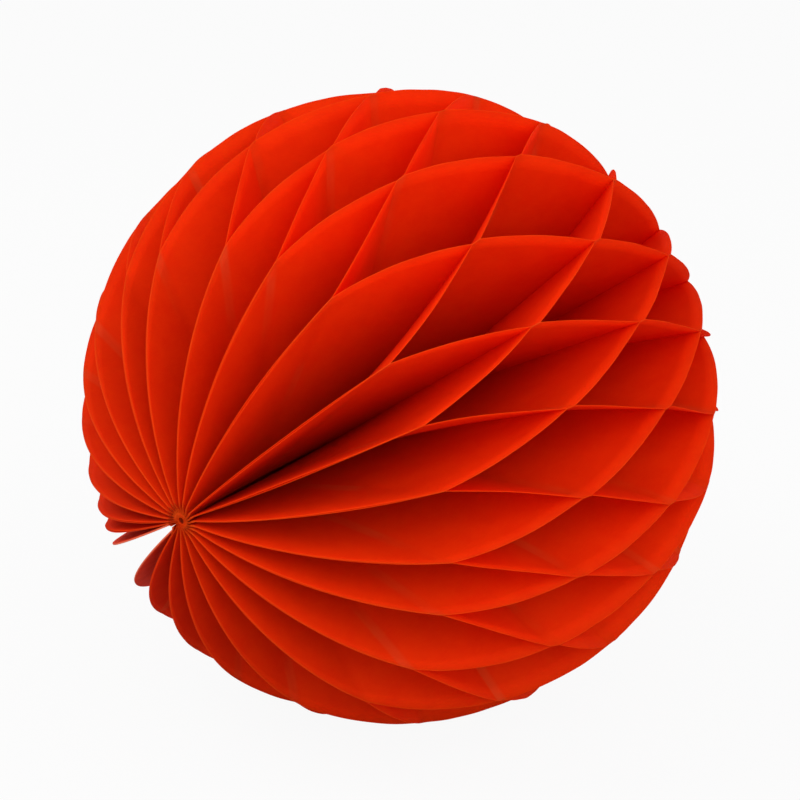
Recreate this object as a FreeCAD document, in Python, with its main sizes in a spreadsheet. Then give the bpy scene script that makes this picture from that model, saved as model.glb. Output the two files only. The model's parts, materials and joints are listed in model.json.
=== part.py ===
import FreeCAD, Part
import math
import os
import Sketcher

# Paper honeycomb ball, lying on its side, millimetres.
# +Z is up, the spine lies along Y, and the origin is the centre of the ball on the spine's axis.
# A fan angle is counted round the spine from +X towards +Z, in degrees.
# The ball is a book of half-round paper leaves bound at their straight edge between two card covers
# and fanned almost all the way round. Glue lines square to the spine join each leaf to one neighbour
# on the middle and end rings (a ridge) and to its other neighbour on the rings between (a valley).

SIZES = [
    ("ball_radius", 75.0, "half the width of the open ball"),
    ("spine_radius", 1.5, "outside of the glued binding tube"),
    ("thread_hole_radius", 0.95, "bore for the hanging thread"),
    ("spine_length", 149.0, "binding tube, end to end"),
    ("spine_clearance", 0.1, "from the binding to the leaves that turn round it"),
    ("paper_thickness", 0.1, "one leaf"),
    ("glue_film", 0.06, "glue left between two leaves, or a leaf and its cover"),
    ("glue_width", 2.2, "one glue line, along the spine"),
    ("ring_pitch", 26.6, "glue line to glue line along the spine"),
    ("card_thickness", 0.35, "one cover"),
    ("cover_setback", 3.1, "from the binding to a cover's straight edge"),
    ("fan_root", 6.0, "radius inside which the leaves spread evenly round the spine"),
    ("leaf_tip", 0.4, "height of a leaf's end beyond its straight edge"),
    ("tape_length", 24.0, "closing tape, along the spine"),
    ("tape_width", 9.0, "closing tape, across"),
    ("tape_thickness", 0.2, "double-sided closing tape"),
    ("tape_radius", 58.0, "spine to the middle of a closing tape"),
    ("tape_spread", 26.0, "ball's centre to the middle of a closing tape, along the spine"),
    ("lower_cover_angle", -134.0, "fan angle of the lower cover's outer face"),
    ("upper_cover_angle", 213.0, "fan angle of the upper cover's outer face"),
]

# Fan angle of each ridge, from the lower cover to the upper one: as uneven as hand-opened paper.
RIDGES = [-125.0, -111.5, -97.0, -77.5, -55.0, -35.0, -16.0, -2.0, 15.0, 30.0, 45.0,
          64.5, 81.0, 96.0, 118.0, 132.0, 150.5, 165.5, 179.0, 192.0, 201.5, 207.5]

LEAVES = 2 * len(RIDGES)
RINGS = (-2, -1, 0, 1, 2)
SPAN_STEPS = 3
CAP_STEPS = 6

doc = FreeCAD.newDocument("honeycomb_ball")
sheet = doc.addObject("Spreadsheet::Sheet", "sizes")


def write_cell(row, alias, value, note):
    sheet.set(f"A{row}", alias)
    sheet.set(f"B{row}", str(value))
    sheet.setAlias(f"B{row}", alias)
    sheet.set(f"C{row}", note)


def fill_sheet():
    row = 1
    for alias, value, note in SIZES:
        write_cell(row, alias, value, note)
        row += 1
    for number, angle in enumerate(RIDGES, 1):
        write_cell(row, f"ridge_{number:02d}", angle, "fan angle of this ridge")
        row += 1
    doc.recompute()


def size(alias):
    return float(sheet.get(alias))


def bind(thing, prop, expression):
    thing.setExpression(prop, expression)


def origin_plane(body, role):
    for feature in body.Origin.OriginFeatures:
        if feature.Role == role:
            return feature
    raise RuntimeError(f"no {role}")


def new_sketch(body, plane):
    sketch = body.newObject("Sketcher::SketchObject", f"{body.Name}_outline")
    sketch.AttachmentSupport = [(origin_plane(body, plane), "")]
    sketch.MapMode = "FlatFace"
    return sketch


def fan_placement(angle):
    """Turns a piece drawn in the XY plane, straight edge on Y, to its fan angle round the spine."""
    return FreeCAD.Placement(FreeCAD.Vector(), FreeCAD.Rotation(FreeCAD.Vector(0, 1, 0), -angle))


# ---- the binding ------------------------------------------------------------------------------

def make_spine():
    """A stiff tube of glue and thread along the spine, open from end to end for a thread."""
    body = doc.addObject("PartDesign::Body", "spine_binding")
    sketch = new_sketch(body, "XZ_Plane")
    axis = FreeCAD.Vector(0, 0, 0)
    normal = FreeCAD.Vector(0, 0, 1)
    for alias in ("spine_radius", "thread_hole_radius"):
        ring = sketch.addGeometry(Part.Circle(axis, normal, size(alias)), False)
        sketch.addConstraint(Sketcher.Constraint("Coincident", ring, 3, -1, 1))
        radius = sketch.addConstraint(Sketcher.Constraint("Radius", ring, size(alias)))
        bind(sketch, f"Constraints[{radius}]", f"sizes.{alias}")
    pad = body.newObject("PartDesign::Pad", "spine_pad")
    pad.Profile = sketch
    pad.Midplane = True
    bind(pad, "Length", "sizes.spine_length")
    return body


# ---- the covers -------------------------------------------------------------------------------

def make_cover(name, angle_alias, reversed_pad):
    """A half-round card whose outer face lies in a plane through the spine's axis."""
    body = doc.addObject("PartDesign::Body", name)
    sketch = new_sketch(body, "XY_Plane")
    ball = size("ball_radius")
    inner = size("spine_radius") + size("cover_setback")
    tip = math.acos(inner / ball)
    circle = Part.Circle(FreeCAD.Vector(), FreeCAD.Vector(0, 0, 1), ball)
    low = FreeCAD.Vector(inner, -ball * math.sin(tip), 0)
    high = FreeCAD.Vector(inner, ball * math.sin(tip), 0)
    arc = sketch.addGeometry(Part.ArcOfCircle(circle, -tip, tip), False)
    edge = sketch.addGeometry(Part.LineSegment(high, low), False)
    sketch.addConstraint(Sketcher.Constraint("Coincident", arc, 3, -1, 1))
    sketch.addConstraint(Sketcher.Constraint("Coincident", arc, 2, edge, 1))
    sketch.addConstraint(Sketcher.Constraint("Coincident", edge, 2, arc, 1))
    sketch.addConstraint(Sketcher.Constraint("Vertical", edge))
    radius = sketch.addConstraint(Sketcher.Constraint("Radius", arc, ball))
    bind(sketch, f"Constraints[{radius}]", "sizes.ball_radius")
    reach = sketch.addConstraint(Sketcher.Constraint("DistanceX", -1, 1, edge, 1, inner))
    bind(sketch, f"Constraints[{reach}]", "sizes.spine_radius + sizes.cover_setback")
    pad = body.newObject("PartDesign::Pad", f"{name}_pad")
    pad.Profile = sketch
    pad.Reversed = reversed_pad
    bind(pad, "Length", "sizes.card_thickness")
    body.Placement = fan_placement(size(angle_alias))
    return body


def make_tape(name, side):
    """A closing tape stuck to the lower cover's outer face, inside the gap between the covers."""
    box = doc.addObject("Part::Box", name)
    bind(box, "Length", "sizes.tape_width")
    bind(box, "Width", "sizes.tape_length")
    bind(box, "Height", "sizes.tape_thickness")
    corner = FreeCAD.Vector(size("tape_radius") - size("tape_width") / 2,
                            side * size("tape_spread") - size("tape_length") / 2,
                            -size("tape_thickness"))
    turn = fan_placement(size("lower_cover_angle"))
    box.Placement = turn.multiply(FreeCAD.Placement(corner, FreeCAD.Rotation()))
    return box


# ---- the leaves -------------------------------------------------------------------------------

def ridge_place(leaf):
    """Fan angle of a leaf's ridge, and how far the leaf lies to one side of it."""
    side = -1 if leaf % 2 else 1
    angle = size(f"ridge_{(leaf + 1) // 2:02d}")
    return angle, side * (size("paper_thickness") + size("glue_film")) / 2


def valley_place(leaf):
    """The same where the leaf meets its other neighbour; an end leaf meets its cover there."""
    side = 1 if leaf % 2 else -1
    to_cover = side * (size("card_thickness") + size("glue_film") + size("paper_thickness") / 2)
    valley = leaf // 2
    if valley == 0:
        return size("lower_cover_angle"), to_cover
    if valley == len(RIDGES):
        return size("upper_cover_angle"), to_cover
    middle = (size(f"ridge_{valley:02d}") + size(f"ridge_{valley + 1:02d}")) / 2
    return middle, side * (size("paper_thickness") + size("glue_film")) / 2


def cover_distance(leaf):
    """Least distance of a leaf from its cover's outer face: the card and the paper between."""
    sheets_between = min(leaf, LEAVES + 1 - leaf) - 1
    sheet_step = size("paper_thickness") + size("glue_film")
    first = size("card_thickness") + size("glue_film") + size("paper_thickness") / 2
    return first + sheets_between * sheet_step


def root_angle(leaf):
    """Fan angle of a leaf's straight edge: the leaves share the spine's girth evenly."""
    inner = size("spine_radius") + size("spine_clearance")
    lead = math.degrees(math.asin(min(1.0, cover_distance(1) / inner)))
    first = size("lower_cover_angle") + lead
    last = size("upper_cover_angle") - lead
    return first + (last - first) * (leaf - 1) / (LEAVES - 1)


def clear_of_cover(leaf, angle, shift, radius):
    """The fan angle, held off the cover where one of its two nearest leaves would run into it."""
    if 2 < leaf < LEAVES - 1:
        return angle
    side = 1 if leaf <= 2 else -1
    cover = size("lower_cover_angle") if leaf <= 2 else size("upper_cover_angle")
    least = math.degrees(math.asin(min(1.0, (cover_distance(leaf) - side * shift) / radius)))
    return cover + side * max(least, side * (angle - cover))


def stations():
    """Places along the spine as (y, share): share 0 is on a ridge and 1 in a valley."""
    half = size("glue_width") / 2
    pitch = size("ring_pitch")
    found = []
    for ring in RINGS:
        share = abs(ring) % 2
        found.append((ring * pitch - half, share))
        found.append((ring * pitch + half, share))
        if ring != RINGS[-1]:
            for step in range(1, SPAN_STEPS):
                part = step / SPAN_STEPS
                y = ring * pitch + half + part * (pitch - 2 * half)
                found.append((y, share + part * (1 - 2 * share)))
    ball = size("ball_radius")
    rim = size("spine_radius") + size("spine_clearance") + size("leaf_tip")
    end = math.acos(rim / ball)
    start = math.asin(found[-1][0] / ball)
    for step in range(1, CAP_STEPS + 1):
        y = ball * math.sin(start + (end - start) * step / CAP_STEPS)
        found.append((y, 0.0))
        found.insert(0, (-y, 0.0))
    return found


def leaf_point(leaf, y, share, radius, face):
    """A point on one face (-1 or 1) of a leaf, at a radius from the spine's axis."""
    inner = size("spine_radius") + size("spine_clearance")
    open_share = min(1.0, (radius - inner) / (size("fan_root") - inner))
    ridge_angle, ridge_shift = ridge_place(leaf)
    valley_angle, valley_shift = valley_place(leaf)
    angle = ridge_angle + share * (valley_angle - ridge_angle)
    shift = ridge_shift + share * (valley_shift - ridge_shift)
    angle = root_angle(leaf) + open_share * (angle - root_angle(leaf))
    shift = open_share * shift
    turn = math.radians(clear_of_cover(leaf, angle, shift, radius))
    shift += face * size("paper_thickness") / 2
    x = radius * math.cos(turn) - shift * math.sin(turn)
    z = radius * math.sin(turn) + shift * math.cos(turn)
    return FreeCAD.Vector(x, y, z)


def leaf_radii(y):
    """From the straight edge to the rim, which lies on the ball's round outside."""
    inner = size("spine_radius") + size("spine_clearance")
    rim = math.sqrt(size("ball_radius") ** 2 - y ** 2)
    return inner, min(size("fan_root"), (inner + rim) / 2), rim


def leaf_shape(leaf):
    """A folded sheet of flat facets: rows across the leaf, one for each station."""
    points = []
    rows = []
    for y, share in stations():
        row = []
        for radius in leaf_radii(y):
            pair = []
            for face in (-1, 1):
                pair.append(len(points))
                points.append(leaf_point(leaf, y, share, radius, face))
            row.append(pair)
        rows.append(row)
    facets = []

    def quad(first, second, third, fourth):
        facets.append((first, second, third))
        facets.append((first, third, fourth))

    columns = len(rows[0])
    for low, high in zip(rows, rows[1:]):
        for column in range(columns - 1):
            quad(low[column][0], high[column][0], high[column + 1][0], low[column + 1][0])
            quad(low[column][1], low[column + 1][1], high[column + 1][1], high[column][1])
        quad(low[0][0], low[0][1], high[0][1], high[0][0])
        quad(low[-1][0], high[-1][0], high[-1][1], low[-1][1])
    for row, flip in ((rows[0], False), (rows[-1], True)):
        for near, far in zip(row, row[1:]):
            if flip:
                quad(near[0], near[1], far[1], far[0])
            else:
                quad(near[0], far[0], far[1], near[1])
    shell = Part.Shape()
    shell.makeShapeFromMesh((points, facets), size("glue_film") / 100)
    solid = Part.makeSolid(shell.Shells[0])
    if solid.Volume < 0:
        solid.reverse()
    return solid


def make_leaf(leaf):
    feature = doc.addObject("Part::Feature", f"leaf_{leaf:02d}")
    feature.Shape = leaf_shape(leaf)
    feature.Placement = FreeCAD.Placement()
    return feature


# ---- the whole ball ---------------------------------------------------------------------------

def make_parts():
    parts = [make_spine()]
    parts.append(make_cover("lower_cover", "lower_cover_angle", False))
    parts.append(make_cover("upper_cover", "upper_cover_angle", True))
    parts.append(make_tape("closing_tape_front", -1))
    parts.append(make_tape("closing_tape_back", 1))
    for leaf in range(1, LEAVES + 1):
        parts.append(make_leaf(leaf))
    for part in parts:
        part.Label = part.Name
    return parts


def check(parts):
    doc.recompute()
    for thing in doc.Objects:
        if "Invalid" in thing.State or "Error" in thing.State:
            raise RuntimeError(f"{thing.Name} did not recompute")
    for part in parts:
        shape = part.Shape
        if shape.isNull() or not shape.isValid() or len(shape.Solids) != 1 or shape.Volume <= 0:
            raise RuntimeError(f"{part.Label} is not one good solid")


def write(parts):
    os.makedirs("parts", exist_ok=True)
    for part in parts:
        part.Shape.exportStep(f"parts/{part.Label}.step")
        print(part.Label, round(part.Shape.Volume, 2))


fill_sheet()
ball_parts = make_parts()
check(ball_parts)
write(ball_parts)
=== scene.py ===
import json
import math

import bmesh
import bpy
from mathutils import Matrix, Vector, noise
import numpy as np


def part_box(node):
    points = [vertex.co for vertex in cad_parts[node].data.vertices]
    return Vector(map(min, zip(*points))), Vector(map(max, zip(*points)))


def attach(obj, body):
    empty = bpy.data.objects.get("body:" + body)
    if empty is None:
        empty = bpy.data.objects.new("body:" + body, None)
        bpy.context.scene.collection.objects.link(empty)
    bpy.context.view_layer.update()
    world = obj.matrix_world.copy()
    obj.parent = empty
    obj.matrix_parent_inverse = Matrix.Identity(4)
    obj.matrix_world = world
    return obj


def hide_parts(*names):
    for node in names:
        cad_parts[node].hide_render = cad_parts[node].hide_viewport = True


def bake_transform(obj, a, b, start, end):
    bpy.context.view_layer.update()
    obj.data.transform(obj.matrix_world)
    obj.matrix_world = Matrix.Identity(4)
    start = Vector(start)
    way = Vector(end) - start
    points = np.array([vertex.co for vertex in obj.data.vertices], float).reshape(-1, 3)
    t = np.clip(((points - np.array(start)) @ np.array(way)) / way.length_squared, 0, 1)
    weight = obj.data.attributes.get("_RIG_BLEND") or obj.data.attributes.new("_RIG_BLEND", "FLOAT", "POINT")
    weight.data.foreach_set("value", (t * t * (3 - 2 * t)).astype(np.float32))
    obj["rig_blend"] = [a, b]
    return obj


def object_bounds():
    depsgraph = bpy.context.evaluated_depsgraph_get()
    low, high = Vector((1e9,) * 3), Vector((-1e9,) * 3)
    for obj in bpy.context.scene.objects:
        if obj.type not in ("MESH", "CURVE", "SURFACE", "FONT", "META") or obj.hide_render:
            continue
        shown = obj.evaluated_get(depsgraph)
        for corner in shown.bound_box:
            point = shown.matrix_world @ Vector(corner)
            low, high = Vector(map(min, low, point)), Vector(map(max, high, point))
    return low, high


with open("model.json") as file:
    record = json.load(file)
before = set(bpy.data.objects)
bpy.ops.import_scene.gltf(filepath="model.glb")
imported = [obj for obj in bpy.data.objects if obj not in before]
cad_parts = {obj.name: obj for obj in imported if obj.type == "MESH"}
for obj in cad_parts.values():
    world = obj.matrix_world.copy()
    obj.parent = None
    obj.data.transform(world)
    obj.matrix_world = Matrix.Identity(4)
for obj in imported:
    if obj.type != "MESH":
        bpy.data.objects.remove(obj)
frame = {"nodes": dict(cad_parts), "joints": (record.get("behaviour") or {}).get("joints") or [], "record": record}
cad_low, cad_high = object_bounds()

# Metres. The frame gives the overall sizes; the rest are the honeycomb's own, in millimetres times MM.
MM = 0.001
BALL_RADIUS = max(v.co.length for v in frame["nodes"]["upper_cover"].data.vertices)
SPINE_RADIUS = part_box("spine_binding")[1].x
SPINE_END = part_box("spine_binding")[1].y
THREAD_HOLE = 0.95 * MM
SPINE_CLEARANCE = 0.1 * MM
LEAF_INNER = SPINE_RADIUS + SPINE_CLEARANCE
PAPER = 0.1 * MM
CARD = 0.35 * MM
COVER_SETBACK = 3.1 * MM
COVER_INNER = SPINE_RADIUS + COVER_SETBACK
GLUE_FILM = 0.06 * MM
GLUE_WIDTH = 2.2 * MM
RING_PITCH = 26.6 * MM
RINGS = (-2, -1, 0, 1, 2)
LEAVES = 44

# Past the binding's end the leaves close in over its bore, down to this radius, and LEAF_TIP is how wide
# they still are at the very tip.
POLE_RADIUS = 0.75 * MM
LEAF_TIP = 0.25 * MM
# Inside this radius the leaves swing from an even spread round the spine to their places in the fan.
FAN_ROOT = 3.4 * MM
# At the spine the outer leaves reach this far past their covers, in degrees, and all but close the fan.
# From BRIDGE_END outwards they swing back behind their covers.
ROOT_LAP = 4.5
BRIDGE_END = 3.7 * MM

# How far loose paper strays: across the sheet, at the cut rim, and between two leaves past their last glue.
# The sizes are those of the waves, and NOISE_STEP parts one leaf's noise from the next one's.
SWAY = 0.38 * MM
SWAY_SIZE = 21 * MM
RIM_NICK = 0.28 * MM
RIM_NICK_SIZE = 5 * MM
FLAP = 0.16 * MM
NOISE_STEP = 7.31

# Rows along the spine in a glue line, between two glue lines, and from the last one to the tip.
GLUE_ROWS = 3
SPAN_ROWS = 24
CAP_ROWS = 34
COLUMNS = 18

# Points nearer than this are one.
MERGE = 0.01 * MM


# ---- camera, floor and light ------------------------------------------------------------------

VIEW_AZIMUTH = 37.8
VIEW_ELEVATION = 24.1
VIEW_DISTANCE = 6.0
BALL_SHARE_OF_FRAME = 0.7975
BALL_DROP_IN_FRAME = 0.0069
FLOOR_HALF = 6.0
FLOOR_GREY = (0.50, 0.50, 0.50, 1)
FLOOR_LIFT = 0.93
WHITE = (1, 1, 1, 1)
SOFT_LIGHT = 0.72
# Name, azimuth and elevation in degrees, distance and width in metres, and power in watts.
LAMPS = (
    ("key", 45, 40, 0.9, 0.8, 3.2),
    ("window", -45, 50, 0.9, 0.6, 3.8),
    ("side", 95, 30, 1.0, 0.8, 3.6),
)


def toward(azimuth, elevation):
    """Unit vector from the ball to a viewer: azimuth 0 looks along +Y, 90 along -X."""
    a = math.radians(azimuth)
    e = math.radians(elevation)
    return Vector((math.sin(a) * math.cos(e), -math.cos(a) * math.cos(e), math.sin(e)))


def aim(thing, azimuth, elevation, distance):
    back = toward(azimuth, elevation)
    thing.location = back * distance
    thing.rotation_mode = "QUATERNION"
    thing.rotation_quaternion = (-back).to_track_quat("-Z", "Y")


def make_camera():
    camera = bpy.data.objects.new("camera", bpy.data.cameras.new("camera"))
    bpy.context.collection.objects.link(camera)
    aim(camera, VIEW_AZIMUTH, VIEW_ELEVATION, VIEW_DISTANCE * BALL_RADIUS)
    rim_slope = 1 / math.sqrt(VIEW_DISTANCE ** 2 - 1)
    camera.data.lens = camera.data.sensor_width * BALL_SHARE_OF_FRAME / (2 * rim_slope)
    camera.data.shift_y = BALL_DROP_IN_FRAME
    camera.data.clip_start = 0.01
    camera.data.clip_end = 20
    bpy.context.scene.camera = camera


def make_lamp(name, azimuth, elevation, distance, width, power):
    lamp = bpy.data.objects.new(name, bpy.data.lights.new(name, "AREA"))
    bpy.context.collection.objects.link(lamp)
    lamp.data.size = width
    lamp.data.energy = power
    aim(lamp, azimuth, elevation, distance)


def add_node(tree, kind, inputs=None, **settings):
    """A node with its settings, and its sockets by name or number, each a value or a link."""
    node = tree.nodes.new(kind)
    for name, value in settings.items():
        setattr(node, name, value)
    for name, value in (inputs or {}).items():
        if isinstance(value, bpy.types.NodeSocket):
            tree.links.new(value, node.inputs[name])
        else:
            node.inputs[name].default_value = value
    return node


def new_material(name):
    material = bpy.data.materials.new(name)
    material.use_nodes = True
    material.node_tree.nodes.clear()
    return material, material.node_tree


def floor_material():
    """Matt pale board, lifted towards white for the camera, with the ball's shadow kept."""
    material, tree = new_material("floor_board")
    board = add_node(tree, "ShaderNodeBsdfDiffuse", {"Color": FLOOR_GREY})
    glow = add_node(tree, "ShaderNodeEmission", {"Color": WHITE})
    path = add_node(tree, "ShaderNodeLightPath")
    share = add_node(tree, "ShaderNodeMath", {0: path.outputs["Is Camera Ray"], 1: FLOOR_LIFT},
                     operation="MULTIPLY")
    mix = add_node(tree, "ShaderNodeMixShader", {0: share.outputs[0], 1: board.outputs[0],
                                                 2: glow.outputs[0]})
    add_node(tree, "ShaderNodeOutputMaterial", {"Surface": mix.outputs[0]})
    return material


def make_floor():
    mesh = bmesh.new()
    bmesh.ops.create_grid(mesh, x_segments=1, y_segments=1, size=FLOOR_HALF)
    bmesh.ops.translate(mesh, verts=mesh.verts, vec=(0, 0, cad_low.z))
    data = bpy.data.meshes.new("floor")
    mesh.to_mesh(data)
    mesh.free()
    floor = bpy.data.objects.new("floor", data)
    bpy.context.collection.objects.link(floor)
    data.materials.append(floor_material())


def make_world():
    """Even light from all round, seen by the camera as plain white."""
    world = bpy.data.worlds.new("studio")
    bpy.context.scene.world = world
    world.use_nodes = True
    tree = world.node_tree
    tree.nodes.clear()
    soft = add_node(tree, "ShaderNodeBackground", {"Color": WHITE, "Strength": SOFT_LIGHT})
    white = add_node(tree, "ShaderNodeBackground", {"Color": WHITE, "Strength": 1.0})
    path = add_node(tree, "ShaderNodeLightPath")
    mix = add_node(tree, "ShaderNodeMixShader", {0: path.outputs["Is Camera Ray"], 1: soft.outputs[0],
                                                 2: white.outputs[0]})
    add_node(tree, "ShaderNodeOutputWorld", {"Surface": mix.outputs[0]})


make_camera()
make_floor()
make_world()
for lamp in LAMPS:
    make_lamp(*lamp)
bpy.context.scene.view_settings.view_transform = "Standard"


# ---- materials --------------------------------------------------------------------------------

PAPER_RED = (0.92, 0.046, 0.0004, 1)
PAPER_CLOUD = (0.88, 0.030, 0.0002, 1)
PAPER_FIBRE = (0.94, 0.070, 0.0010, 1)
# Painted highlight: the lighter colour laid along the leaves' cut rim stands for light caught on the edge.
PAPER_EDGE_HIGHLIGHT = (0.95, 0.140, 0.0080, 1)
PAPER_GLUED = (0.88, 0.120, 0.0300, 1)
PAPER_BY_BACKLIGHT = (0.99, 0.62, 0.40, 1)
CARD_RED = (0.76, 0.034, 0.0020, 1)
CARD_CLOUD = (0.60, 0.018, 0.0015, 1)
CARD_FIBRE = (0.76, 0.050, 0.0040, 1)
CARD_CORE = (0.74, 0.110, 0.0300, 1)
CARD_CORE_CLOUD = (0.60, 0.070, 0.0180, 1)
BINDING_RED = (0.42, 0.022, 0.0020, 1)
BINDING_GLUE = (0.30, 0.012, 0.0020, 1)
LINER = (0.80, 0.77, 0.70, 1)
LINER_CLOUD = (0.72, 0.69, 0.62, 1)
TAPE_GUM = (0.74, 0.70, 0.60, 1)
TAPE_CLOUD = (0.62, 0.57, 0.47, 1)

# Share of the light that a leaf lets through instead of sending back.
LIGHT_THROUGH = 0.55
# Noise scales, per metre.
CLOUD_SCALE = 170.0
FIBRE_SCALE = 2300.0
SOAK_SCALE = 45.0
# Fibres are drawn out along the spine by the inverse of this.
FIBRE_SQUEEZE = 0.22
# How much of the painted highlight along the cut rim shows, and how far in from the rim it reaches.
EDGE_HIGHLIGHT_SHARE = 0.45
EDGE_HIGHLIGHT_WIDTH = 0.35 * MM
# How much of soaked glue shows, out to where from the line's middle, and where it has faded away.
GLUE_SHARE = 0.45
GLUE_SOLID = 0.45 * GLUE_WIDTH
GLUE_FADED = 0.75 * GLUE_WIDTH


def mix_colours(tree, share, first, second, blend="MIX"):
    mix = add_node(tree, "ShaderNodeMix", {0: share, 6: first, 7: second},
                   data_type="RGBA", blend_type=blend)
    return mix.outputs[2]


def remap(tree, value, start, end, low, high):
    node = add_node(tree, "ShaderNodeMapRange", {"Value": value, "From Min": start, "From Max": end,
                                                 "To Min": low, "To Max": high})
    return node.outputs[0]


def new_group(name, sockets):
    """A node group with its sockets, each as (name, kind, side), and the sockets of its input node."""
    tree = bpy.data.node_groups.new(name, "ShaderNodeTree")
    for title, kind, side in sockets:
        tree.interface.new_socket(name=title, in_out=side, socket_type=f"NodeSocket{kind}")
    return tree, tree.nodes.new("NodeGroupInput").outputs


def paper_fibres():
    """Cloudy sheet with fine fibres along it; a place is on the flat sheet, in metres."""
    tree, given = new_group("paper_fibres", [
        ("Place", "Vector", "INPUT"), ("Sheet", "Color", "INPUT"), ("Cloud", "Color", "INPUT"),
        ("Fibre", "Color", "INPUT"), ("Cloud Share", "Float", "INPUT"),
        ("Fibre Share", "Float", "INPUT"), ("Color", "Color", "OUTPUT"),
        ("Roughness", "Float", "OUTPUT"), ("Height", "Float", "OUTPUT")])
    cloud = add_node(tree, "ShaderNodeTexNoise", {"Vector": given["Place"], "Scale": CLOUD_SCALE,
                                                  "Detail": 4.0, "Roughness": 0.6})
    along = add_node(tree, "ShaderNodeVectorMath", {0: given["Place"], 1: (1.0, FIBRE_SQUEEZE, 1.0)},
                     operation="MULTIPLY")
    fibre = add_node(tree, "ShaderNodeTexNoise", {"Vector": along.outputs[0], "Scale": FIBRE_SCALE,
                                                  "Detail": 3.0, "Roughness": 0.65})
    cloud_mask = remap(tree, cloud.outputs[0], 0.38, 0.66, 0.0, 1.0)
    fibre_mask = remap(tree, fibre.outputs[0], 0.50, 0.72, 0.0, 1.0)
    cloud_share = add_node(tree, "ShaderNodeMath", {0: cloud_mask, 1: given["Cloud Share"]},
                           operation="MULTIPLY")
    fibre_share = add_node(tree, "ShaderNodeMath", {0: fibre_mask, 1: given["Fibre Share"]},
                           operation="MULTIPLY")
    clouded = mix_colours(tree, cloud_share.outputs[0], given["Sheet"], given["Cloud"])
    colour = mix_colours(tree, fibre_share.outputs[0], clouded, given["Fibre"])
    height = add_node(tree, "ShaderNodeMath", {0: fibre.outputs[0], 1: cloud.outputs[0]},
                      operation="ADD")
    add_node(tree, "NodeGroupOutput", {"Color": colour, "Height": height.outputs[0],
                                       "Roughness": remap(tree, fibre.outputs[0], 0.3, 0.7, 0.70, 0.88)})
    return tree


def cut_edge_highlight():
    """Mask for the painted highlight along the cut rim: 1 at the sheet's round rim, fading inwards over a width.
    """
    tree, given = new_group("cut_edge_highlight", [
        ("Place", "Vector", "INPUT"), ("Radius", "Float", "INPUT"), ("Width", "Float", "INPUT"),
        ("Mask", "Float", "OUTPUT")])
    flat = add_node(tree, "ShaderNodeVectorMath", {0: given["Place"], 1: (1.0, 1.0, 0.0)},
                    operation="MULTIPLY")
    reach = add_node(tree, "ShaderNodeVectorMath", {0: flat.outputs[0]}, operation="LENGTH")
    inside = add_node(tree, "ShaderNodeMath", {0: given["Radius"], 1: reach.outputs["Value"]},
                      operation="SUBTRACT")
    faded = add_node(tree, "ShaderNodeMapRange", {"Value": inside.outputs[0], "From Min": 0.0,
                                                  "From Max": given["Width"], "To Min": 1.0,
                                                  "To Max": 0.0})
    add_node(tree, "NodeGroupOutput", {"Mask": faded.outputs[0]})
    return tree


FIBRES = paper_fibres()
CUT_EDGE_HIGHLIGHT = cut_edge_highlight()


def sheet_place(tree):
    """Place on the flat sheet, with each sheet's own slice of the pattern along the third axis."""
    flat = add_node(tree, "ShaderNodeUVMap", uv_map="sheet")
    number = add_node(tree, "ShaderNodeAttribute", attribute_name="sheet_number")
    apart = add_node(tree, "ShaderNodeCombineXYZ", {"Z": number.outputs["Fac"]})
    place = add_node(tree, "ShaderNodeVectorMath", {0: flat.outputs[0], 1: apart.outputs[0]},
                     operation="ADD")
    return place.outputs[0]


def fibre_layer(tree, place, sheet, cloud, fibre, cloud_share, fibre_share):
    layer = add_node(tree, "ShaderNodeGroup", node_tree=FIBRES)
    tree.links.new(place, layer.inputs["Place"])
    for name, value in (("Sheet", sheet), ("Cloud", cloud), ("Fibre", fibre),
                        ("Cloud Share", cloud_share), ("Fibre Share", fibre_share)):
        layer.inputs[name].default_value = value
    return layer.outputs


def edge_highlight_mask(tree, place, width):
    """Mask for the painted highlight: 1 at a leaf's cut rim, fading inwards."""
    edge = add_node(tree, "ShaderNodeGroup", node_tree=CUT_EDGE_HIGHLIGHT)
    tree.links.new(place, edge.inputs["Place"])
    edge.inputs["Radius"].default_value = BALL_RADIUS
    edge.inputs["Width"].default_value = width
    return edge.outputs["Mask"]


def glue_mask(tree, place):
    """Bands along the glue lines, patchy where the glue soaked through."""
    split = add_node(tree, "ShaderNodeSeparateXYZ", {0: place})
    wrapped = add_node(tree, "ShaderNodeMath", {0: split.outputs["Y"], 1: RING_PITCH / 2,
                                                2: -RING_PITCH / 2}, operation="WRAP")
    off = add_node(tree, "ShaderNodeMath", {0: wrapped.outputs[0]}, operation="ABSOLUTE")
    band = remap(tree, off.outputs[0], GLUE_SOLID, GLUE_FADED, 1.0, 0.0)
    soak = add_node(tree, "ShaderNodeTexNoise", {"Vector": place, "Scale": SOAK_SCALE, "Detail": 2.0})
    patchy = remap(tree, soak.outputs[0], 0.50, 0.68, 0.0, GLUE_SHARE)
    both = add_node(tree, "ShaderNodeMath", {0: band, 1: patchy}, operation="MULTIPLY")
    return both.outputs[0]


def bump(tree, height, strength, distance):
    node = add_node(tree, "ShaderNodeBump", {"Height": height, "Strength": strength,
                                             "Distance": distance})
    return node.outputs[0]


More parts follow.
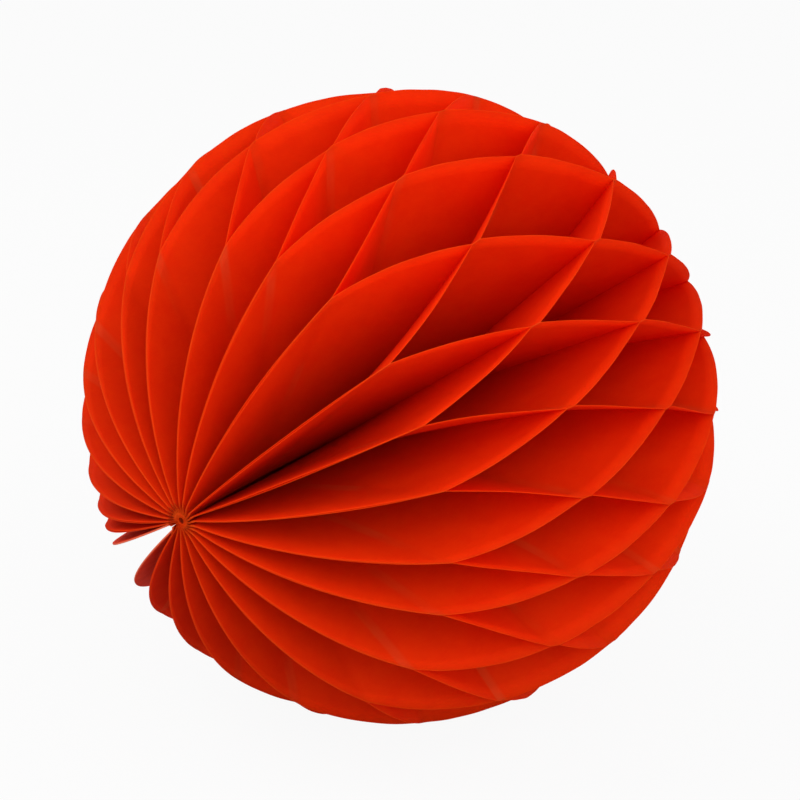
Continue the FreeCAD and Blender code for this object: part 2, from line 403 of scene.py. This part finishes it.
def leaf_paper():
    """Thin dyed tissue: light comes through it, deeper in colour than off it."""
    material, tree = new_material("leaf_paper")
    place = sheet_place(tree)
    fibres = fibre_layer(tree, place, PAPER_RED, PAPER_CLOUD, PAPER_FIBRE,
                         cloud_share=0.55, fibre_share=0.35)
    glued = mix_colours(tree, glue_mask(tree, place), fibres["Color"], PAPER_GLUED)
    # Painted highlight: the colour is lightened near the cut rim, for light caught on the edge.
    rim = add_node(tree, "ShaderNodeMath", {0: edge_highlight_mask(tree, place, EDGE_HIGHLIGHT_WIDTH), 1: EDGE_HIGHLIGHT_SHARE},
                   operation="MULTIPLY")
    colour = mix_colours(tree, rim.outputs[0], glued, PAPER_EDGE_HIGHLIGHT)
    sheet = add_node(tree, "ShaderNodeBsdfPrincipled", {
        "Base Color": colour, "Roughness": fibres["Roughness"], "Specular IOR Level": 0.08,
        "Normal": bump(tree, fibres["Height"], strength=0.35, distance=0.12 * MM)})
    deeper = mix_colours(tree, 1.0, colour, PAPER_BY_BACKLIGHT, "MULTIPLY")
    through = add_node(tree, "ShaderNodeBsdfTranslucent", {"Color": deeper})
    mix = add_node(tree, "ShaderNodeMixShader", {0: LIGHT_THROUGH, 1: sheet.outputs[0],
                                                 2: through.outputs[0]})
    add_node(tree, "ShaderNodeOutputMaterial", {"Surface": mix.outputs[0]})
    return material


def plain_sheet(name, place_of, colours, cloud_share, fibre_share, **finish):
    """An opaque material with the fibre pattern: finish sets more of the shader's sockets."""
    material, tree = new_material(name)
    fibres = fibre_layer(tree, place_of(tree), *colours, cloud_share, fibre_share)
    sheet = add_node(tree, "ShaderNodeBsdfPrincipled", {
        "Base Color": fibres["Color"],
        "Normal": bump(tree, fibres["Height"], strength=0.4, distance=0.15 * MM)})
    if "Roughness" not in finish:
        tree.links.new(fibres["Roughness"], sheet.inputs["Roughness"])
    for title, value in finish.items():
        sheet.inputs[title.replace("_", " ")].default_value = value
    add_node(tree, "ShaderNodeOutputMaterial", {"Surface": sheet.outputs[0]})
    return material


def object_place(tree):
    return add_node(tree, "ShaderNodeTexCoord").outputs["Object"]


MATERIALS = {
    "paper": leaf_paper(),
    "card": plain_sheet("cover_card", sheet_place, (CARD_RED, CARD_CLOUD, CARD_FIBRE),
                        cloud_share=0.7, fibre_share=0.5, Specular_IOR_Level=0.12),
    "core": plain_sheet("card_core", sheet_place, (CARD_CORE, CARD_CORE_CLOUD, CARD_CORE),
                        cloud_share=0.9, fibre_share=0.2),
    "binding": plain_sheet("binding_paper", object_place, (BINDING_RED, BINDING_GLUE, PAPER_FIBRE),
                           cloud_share=0.9, fibre_share=0.3, Specular_IOR_Level=0.2),
    "gum": plain_sheet("tape_gum", object_place, (TAPE_GUM, TAPE_CLOUD, TAPE_GUM),
                       cloud_share=0.8, fibre_share=0.2, Roughness=0.35),
    "liner": plain_sheet("tape_liner", object_place, (LINER, LINER_CLOUD, LINER),
                         cloud_share=0.6, fibre_share=0.3, Roughness=0.42),
}


# ---- where the leaves lie ---------------------------------------------------------------------

# Somewhere in the gap between the covers: fan angles are counted on from here.
FAN_START = -140
TURN = 360
# Shares of the radius beyond which a packed leaf's rim and a packed cover's face are read.
NEAR_RIM = 0.96
FAR_OUT = 0.5


def fan_angle(point):
    """Degrees round the spine from +X towards +Z, counted on from the lower cover."""
    angle = math.degrees(math.atan2(point.z, point.x))
    return angle if angle > FAN_START else angle + TURN


def node_angle(name, y):
    """Fan angle at which a solid's rim crosses the plane at y."""
    points = [v.co for v in frame["nodes"][name].data.vertices]
    reach = math.sqrt(BALL_RADIUS ** 2 - y ** 2) * NEAR_RIM
    near = [p for p in points if abs(p.y - y) < GLUE_WIDTH and math.hypot(p.x, p.z) > reach]
    return sum(fan_angle(p) for p in near) / len(near)


def cover_angle(name, side):
    """Fan angle of a cover's outer face: the side away from the leaves."""
    points = [v.co for v in frame["nodes"][name].data.vertices]
    far = [p for p in points if math.hypot(p.x, p.z) > FAR_OUT * BALL_RADIUS]
    return side * max(side * fan_angle(p) for p in far)


def pair_angle(first, y):
    """Fan angle of the glue line between a leaf and the next one."""
    return (node_angle(f"leaf_{first:02d}", y) + node_angle(f"leaf_{first + 1:02d}", y)) / 2


LOWER_COVER = cover_angle("lower_cover", -1)
UPPER_COVER = cover_angle("upper_cover", 1)
RIDGES = [pair_angle(leaf, 0) for leaf in range(1, LEAVES, 2)]
VALLEYS = [LOWER_COVER]
VALLEYS += [pair_angle(leaf, RING_PITCH) for leaf in range(2, LEAVES - 1, 2)]
VALLEYS += [UPPER_COVER]
# The ridge that stays put while the two halves of the fan fold towards it.
STILL_RIDGE = 11
STILL_ANGLE = RIDGES[STILL_RIDGE - 1]


def stations():
    """Rows across a leaf as (y, share, slack): share 0 is on a ridge, 1 in a valley."""
    half = GLUE_WIDTH / 2
    found = []
    for ring in RINGS:
        share = abs(ring) % 2
        for step in range(GLUE_ROWS):
            found.append((ring * RING_PITCH - half + GLUE_WIDTH * step / (GLUE_ROWS - 1), share, 0.0))
        if ring == RINGS[-1]:
            continue
        for step in range(1, SPAN_ROWS):
            part = step / SPAN_ROWS
            y = ring * RING_PITCH + half + part * (RING_PITCH - GLUE_WIDTH)
            found.append((y, share + part * (1 - 2 * share), math.sin(math.pi * part)))
    end = math.acos((POLE_RADIUS + LEAF_TIP) / BALL_RADIUS)
    start = math.asin(found[-1][0] / BALL_RADIUS)
    for step in range(1, CAP_ROWS + 1):
        part = step / CAP_ROWS
        y = BALL_RADIUS * math.sin(start + (end - start) * part)
        found.append((y, 0.0, math.sin(math.pi * part)))
        found.insert(0, (-y, 0.0, math.sin(math.pi * part)))
    return found


STATIONS = stations()


def cover_distance(leaf):
    """Least distance of a leaf from its cover's outer face: the card and the paper between."""
    sheets_between = min(leaf, LEAVES + 1 - leaf) - 1
    return CARD + GLUE_FILM + PAPER / 2 + sheets_between * (PAPER + GLUE_FILM)


def root_angle(leaf):
    """Fan angle of a leaf's straight edge: the leaves share the spine's girth evenly."""
    first = LOWER_COVER - ROOT_LAP
    last = UPPER_COVER + ROOT_LAP
    return first + (last - first) * (leaf - 1) / (LEAVES - 1)


def clear_of_cover(leaf, angle, shift, radius):
    """The fan angle, held off the cover where one of its two nearest leaves would run into it."""
    if 2 < leaf < LEAVES - 1:
        return angle
    side = 1 if leaf <= 2 else -1
    cover = LOWER_COVER if leaf <= 2 else UPPER_COVER
    if radius < COVER_INNER:
        return angle
    reach = (cover_distance(leaf) - side * shift) / radius
    least = math.degrees(math.asin(min(1.0, reach)))
    return cover + side * max(least, side * (angle - cover))


def smooth(share):
    """0 to 1 with soft ends."""
    share = min(1.0, max(0.0, share))
    return share * share * (3 - 2 * share)


def opening(leaf, radius):
    """How far a leaf has swung from the even spread at the spine to its own place in the fan.

    The first and last leaf swing later, because they bridge the gap between the covers.
    """
    if leaf in (1, LEAVES):
        return smooth((radius - BRIDGE_END) / (COVER_INNER - BRIDGE_END))
    return smooth((radius - LEAF_INNER) / (FAN_ROOT - LEAF_INNER))


def stray(leaf, y, radius, size):
    """Even noise from -1 to 1 on a leaf of its own."""
    return noise.noise(Vector((radius / size, y / size, leaf * NOISE_STEP)))


def leaf_point(leaf, station, column):
    """A point in the middle of the leaf's paper, and its place on the flat sheet.

    shift is how far the paper lies to one side of the plane at its fan angle.
    """
    y, share, slack = station
    pair_side = -1 if leaf % 2 else 1
    ridge = RIDGES[(leaf - 1) // 2]
    ridge_shift = pair_side * PAPER / 2
    valley = VALLEYS[leaf // 2]
    valley_shift = -ridge_shift
    if leaf in (1, LEAVES):
        valley_shift = -pair_side * cover_distance(leaf)
    rim = math.sqrt(BALL_RADIUS ** 2 - y ** 2)
    rim -= RIM_NICK * (0.5 + 0.5 * stray(leaf, y, 0, RIM_NICK_SIZE)) * rim / BALL_RADIUS
    inner = LEAF_INNER if abs(y) < SPINE_END else POLE_RADIUS
    radius = inner + (rim - inner) * column / COLUMNS
    open_share = opening(leaf, radius)
    angle = ridge + share * (valley - ridge)
    angle = root_angle(leaf) + open_share * (angle - root_angle(leaf))
    shift = open_share * (ridge_shift + share * (valley_shift - ridge_shift))
    outwards = radius / BALL_RADIUS
    shift += open_share * slack * SWAY * outwards * stray(leaf, y, radius, SWAY_SIZE)
    if abs(y) > RINGS[-1] * RING_PITCH:
        shift += open_share * slack * FLAP * pair_side * (0.6 + 0.4 * stray(leaf, y, 0, SWAY_SIZE))
    turn = math.radians(clear_of_cover(leaf, angle, shift, radius))
    x = radius * math.cos(turn) - shift * math.sin(turn)
    z = radius * math.sin(turn) + shift * math.cos(turn)
    return Vector((x, y, z)), (radius, y)


# ---- making the pieces ------------------------------------------------------------------------

def fold_ratios():
    """How far each leaf turns for each degree that its cover turns."""
    couplings = frame["record"]["behaviour"]["couplings"]
    return {c["joint"]: c["ratio"] for c in couplings}


RATIOS = fold_ratios()
# Degrees from rest to the closed book, by joint.
TRAVEL = {j["name"]: max(j["range_deg"]) for j in frame["joints"]}
# Between two sheets' slices of the paper pattern.
SHEET_APART = 50 * MM
# When the fan closes, a leaf stays this far from its cover's outer face, if there is room.
CLOSED_ROOM = CARD + 2 * PAPER


def finished(mesh, name, *materials):
    """The bmesh as a smooth-shaded object with its materials."""
    for face in mesh.faces:
        face.smooth = True
    data = bpy.data.meshes.new(name)
    mesh.to_mesh(data)
    mesh.free()
    for material in materials:
        data.materials.append(MATERIALS[material])
    piece = bpy.data.objects.new(name, data)
    bpy.context.collection.objects.link(piece)
    return piece


def make_sheet(name, number, columns, rows, point, *materials, merge=False):
    """A grid laid out by point(row, column), which gives its place and its place on the flat sheet.

    merge closes the ends where a row of points has run together.
    """
    mesh = bmesh.new()
    bmesh.ops.create_grid(mesh, x_segments=columns, y_segments=rows, size=0.5)
    mesh.verts.index_update()
    slice_of_pattern = mesh.verts.layers.float.new("sheet_number")
    flat = {}
    for vertex in mesh.verts:
        column = round((vertex.co.x + 0.5) * columns)
        row = round((vertex.co.y + 0.5) * rows)
        vertex.co, flat[vertex.index] = point(row, column)
        vertex[slice_of_pattern] = number * SHEET_APART
    sheet_map = mesh.loops.layers.uv.new("sheet")
    for face in mesh.faces:
        for loop in face.loops:
            loop[sheet_map].uv = flat[loop.vert.index]
    if merge:
        bmesh.ops.remove_doubles(mesh, verts=mesh.verts, dist=MERGE)
    return finished(mesh, name, *materials)


def thicken(piece, thickness, round_edge=0.0, rim_material=0):
    """Gives a sheet its thickness, half to each side, and rounds its edges."""
    wall = piece.modifiers.new("thickness", "SOLIDIFY")
    wall.thickness = thickness
    wall.offset = 0
    wall.material_offset_rim = rim_material
    if round_edge:
        soften = piece.modifiers.new("edges", "BEVEL")
        soften.width = round_edge
        soften.segments = 2
        soften.limit_method = "ANGLE"


def cover_turn(point, cover, travel):
    """A point's share of its cover's turn: by its fan angle, or more where it would meet the cover.

    It is never so much more that the point passes the ridge that stays put.
    """
    angle = fan_angle(point)
    by_angle = (angle - STILL_ANGLE) / (cover - STILL_ANGLE)
    radius = math.hypot(point.x, point.z)
    least = math.degrees(math.asin(min(1.0, CLOSED_ROOM / radius)))
    least *= smooth((radius - LEAF_INNER) / (FAN_ROOT - LEAF_INNER))
    least = min(least, abs(cover - STILL_ANGLE) - travel)
    room = max(0.0, abs(cover - angle) - least)
    return max(by_angle, 1 - room / travel)


def fold_with_the_fan(piece, leaf):
    """Lets every point turn in step with its own fan angle, so glue lines stay together."""
    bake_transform(piece, "spine", f"leaf_{leaf:02d}", start=(0, 0, 0), end=(0, 0, BALL_RADIUS))
    side = "lower_cover" if leaf < 2 * STILL_RIDGE else "upper_cover"
    cover = LOWER_COVER if side == "lower_cover" else UPPER_COVER
    ratio = RATIOS[f"leaf_{leaf:02d}_fan"]
    weights = piece.data.attributes["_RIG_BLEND"].data
    for vertex in piece.data.vertices:
        share = cover_turn(vertex.co, cover, TRAVEL[f"{side}_fold"])
        weights[vertex.index].value = share / ratio


def make_leaf(leaf):
    name = f"leaf_{leaf:02d}"
    piece = make_sheet(f"{name}_paper", leaf, COLUMNS, len(STATIONS) - 1,
                       lambda row, column: leaf_point(leaf, STATIONS[row], column), "paper")
    thicken(piece, PAPER)
    fold_with_the_fan(piece, leaf)
    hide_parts(name)


def beside_cover(angle, radius, y, height):
    """A point off a cover's outer plane, height counted towards larger fan angles."""
    a = math.radians(angle)
    return Vector((radius * math.cos(a) - height * math.sin(a), y,
                   radius * math.sin(a) + height * math.cos(a)))


COVER_ROWS = 64
COVER_COLUMNS = 6
COVER_ROUND = 0.06 * MM


def make_cover(name, angle, side, number):
    """A half-round card; side is +1 where its leaves lie at larger fan angles."""
    end = math.acos(COVER_INNER / BALL_RADIUS)

    def point(row, column):
        polar = end * (2 * row / COVER_ROWS - 1)
        y = BALL_RADIUS * math.sin(polar)
        width = BALL_RADIUS * math.cos(polar) - COVER_INNER
        radius = COVER_INNER + width * column / COVER_COLUMNS
        return beside_cover(angle, radius, y, side * CARD / 2), (radius, y)

    piece = make_sheet(f"{name}_card", number, COVER_COLUMNS, COVER_ROWS, point, "card", "core",
                       merge=True)
    thicken(piece, CARD, COVER_ROUND, rim_material=1)
    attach(piece, name)
    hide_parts(name)


SPINE_SIDES = 32
SPINE_ROUND = 0.12 * MM
# Radians: only the corners of the tube's ends are sharper than this.
CORNER = 1.0


def make_spine():
    """The glued paper binding: a tube with softened ends."""
    mesh = bmesh.new()
    corners = ((THREAD_HOLE, -SPINE_END), (SPINE_RADIUS, -SPINE_END),
               (SPINE_RADIUS, SPINE_END), (THREAD_HOLE, SPINE_END))
    points = [mesh.verts.new((radius, y, 0)) for radius, y in corners]
    edges = [mesh.edges.new((a, b)) for a, b in zip(points, points[1:] + points[:1])]
    bmesh.ops.spin(mesh, geom=points + edges, cent=(0, 0, 0), axis=(0, 1, 0), dvec=(0, 0, 0),
                   angle=math.tau, steps=SPINE_SIDES, use_merge=True, use_duplicate=False)
    bmesh.ops.remove_doubles(mesh, verts=mesh.verts, dist=MERGE)
    bmesh.ops.recalc_face_normals(mesh, faces=mesh.faces)
    ends = [e for e in mesh.edges if len(e.link_faces) == 2 and e.calc_face_angle() > CORNER]
    bmesh.ops.bevel(mesh, geom=ends, offset=SPINE_ROUND, segments=2, profile=0.5, affect="EDGES",
                    material=-1)
    piece = finished(mesh, "spine_binding_tube", "binding")
    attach(piece, "spine")
    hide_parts("spine_binding")


TAPE_WIDTH = 9 * MM
TAPE_LENGTH = 24 * MM
# The two tapes' sheets are numbered one below these and one above.
GUM_SHEET = 60
LINER_SHEET = 64
# From the spine to the middle of a tape, and from the ball's middle along the spine to it.
TAPE_RADIUS = 58 * MM
TAPE_SPREAD = 26 * MM
TAPE_COLUMNS = 6
TAPE_ROWS = 16
TAPE_ROUND = 0.02 * MM
# Thickness of each layer, and the height of its middle above the card.
GUM = 0.11 * MM
GUM_HEIGHT = 0.06 * MM
LINER_PAPER = 0.07 * MM
LINER_HEIGHT = 0.16 * MM
# How far the liner stands past the gum, in all, and how its outer end has lifted.
LINER_MORE_WIDTH = 0.6 * MM
LINER_MORE_LENGTH = 1.6 * MM
LINER_LIFT = 0.18 * MM
LIFT_FROM = 0.30
LIFT_TO = 0.50


def tape_layer(name, number, side, size, height, lift, material):
    """One layer of a tape on the lower cover's outer face; its far end is lifted, one corner more."""
    width, length = size

    def point(row, column):
        across = column / TAPE_COLUMNS - 0.5
        along = row / TAPE_ROWS - 0.5
        lifted = smooth((along * side - LIFT_FROM) / (LIFT_TO - LIFT_FROM))
        curl = lift * lifted * (0.6 + 0.8 * (across + 0.5))
        radius = TAPE_RADIUS + across * width
        y = side * TAPE_SPREAD + along * length
        return beside_cover(LOWER_COVER, radius, y, -height - curl), (across * width, along * length)

    return make_sheet(name, number, TAPE_COLUMNS, TAPE_ROWS, point, material)


def make_tape(name, side):
    """A closing tape on the lower cover, and the liner that still covers its gum."""
    size = (TAPE_WIDTH, TAPE_LENGTH)
    gum = tape_layer(f"{name}_gum", GUM_SHEET + side, side, size, GUM_HEIGHT, 0.0, "gum")
    thicken(gum, GUM, TAPE_ROUND)
    size = (TAPE_WIDTH + LINER_MORE_WIDTH, TAPE_LENGTH + LINER_MORE_LENGTH)
    liner = tape_layer(f"{name}_liner", LINER_SHEET + side, side, size, LINER_HEIGHT, LINER_LIFT, "liner")
    thicken(liner, LINER_PAPER, TAPE_ROUND)
    for piece in (gum, liner):
        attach(piece, "lower_cover")
    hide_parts(name)


make_spine()
make_cover("lower_cover", LOWER_COVER, 1, LEAVES + 1)
make_cover("upper_cover", UPPER_COVER, -1, LEAVES + 2)
make_tape("closing_tape_front", -1)
make_tape("closing_tape_back", 1)
for number in range(1, LEAVES + 1):
    make_leaf(number)
